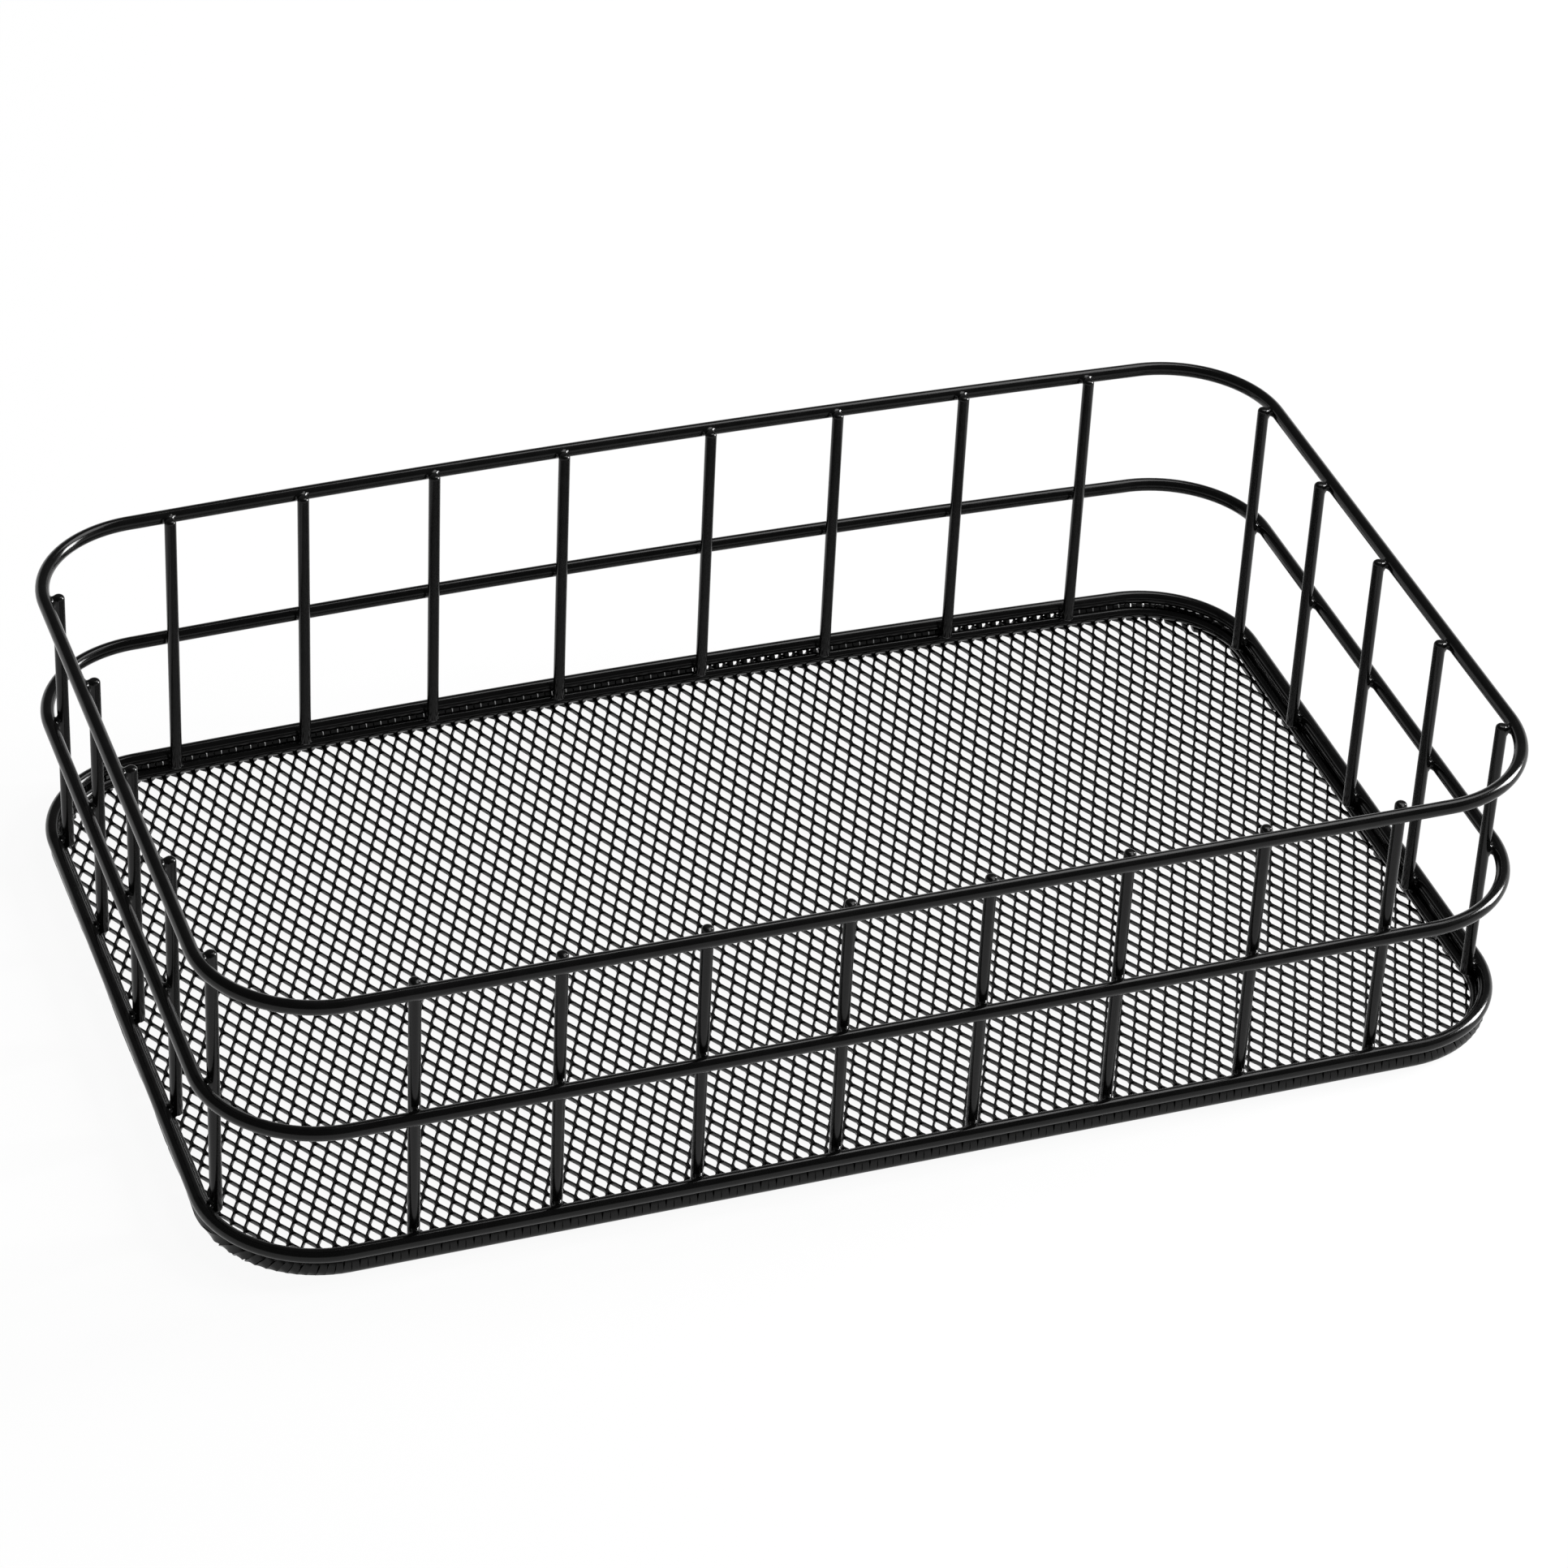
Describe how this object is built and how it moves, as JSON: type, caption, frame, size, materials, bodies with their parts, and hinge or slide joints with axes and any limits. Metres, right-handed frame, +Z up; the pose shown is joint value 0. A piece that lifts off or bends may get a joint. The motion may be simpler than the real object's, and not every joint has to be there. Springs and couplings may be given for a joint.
{
  "type": "wire storage basket",
  "caption": "Low rectangular storage basket of welded black wire with rounded corners, upright wires inside its rings and an expanded-metal floor.",
  "frame": {"origin": "on the plane the basket rests on, under the middle of its outline", "axes": "+Z up, +X along the long side to the right, -Y towards the front long wall"},
  "size_m": [0.33, 0.206, 0.0814],
  "materials": {
    "wire_coat": "satin black powder coat on steel wire",
    "upright_coat": "satin black powder coat on steel wire",
    "mesh_coat": "satin black powder coat on expanded steel"
  },
  "bodies": {
    "root": {"top_rim_ring": "wire_coat", "middle_ring": "wire_coat", "bottom_ring": "wire_coat", "base_ring": "wire_coat", "mesh_floor": "mesh_coat", "mesh_edge": "mesh_coat", "front_upright_1": "upright_coat", "front_upright_2": "upright_coat", "front_upright_3": "upright_coat", "front_upright_4": "upright_coat", "front_upright_5": "upright_coat", "front_upright_6": "upright_coat", "front_upright_7": "upright_coat", "front_upright_8": "upright_coat", "back_upright_1": "upright_coat", "back_upright_2": "upright_coat", "back_upright_3": "upright_coat", "back_upright_4": "upright_coat", "back_upright_5": "upright_coat", "back_upright_6": "upright_coat", "back_upright_7": "upright_coat", "back_upright_8": "upright_coat", "left_upright_1": "upright_coat", "left_upright_2": "upright_coat", "left_upright_3": "upright_coat", "left_upright_4": "upright_coat", "left_upright_5": "upright_coat", "right_upright_1": "upright_coat", "right_upright_2": "upright_coat", "right_upright_3": "upright_coat", "right_upright_4": "upright_coat", "right_upright_5": "upright_coat"}
  },
  "joints": []
}
